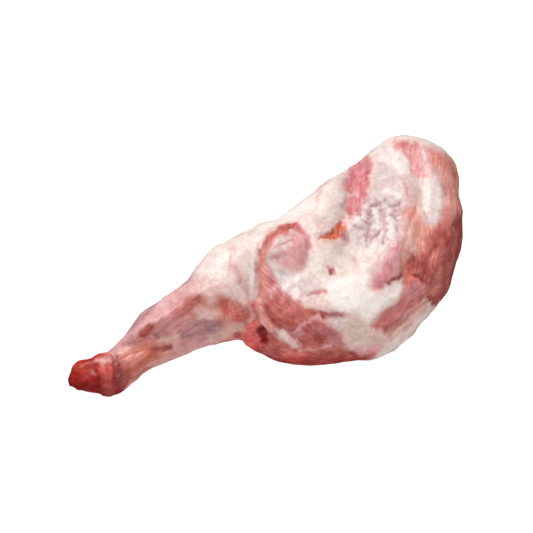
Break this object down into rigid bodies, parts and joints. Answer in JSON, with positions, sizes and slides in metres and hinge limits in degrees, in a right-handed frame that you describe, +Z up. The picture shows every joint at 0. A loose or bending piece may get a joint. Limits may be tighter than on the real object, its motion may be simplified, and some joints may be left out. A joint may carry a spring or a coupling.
{
  "type": "raw lamb shoulder",
  "caption": "Raw bone-in lamb shoulder with its shank, lying on its outer side: a broad flat blade end tapering through a creased elbow to a narrow sawn knuckle.",
  "frame": {"origin": "on the table, under the middle of the bounding box", "axes": "+X from the sawn shank end to the blade end, +Y towards the straight outer edge, +Z up from the table out of the trimmed inner face"},
  "size_m": [0.422, 0.19, 0.083],
  "materials": {
    "raw_meat": "moist raw lean and white fat, satin with wet highlights"
  },
  "bodies": {
    "root": {"lamb_shoulder": "raw_meat"}
  },
  "joints": []
}
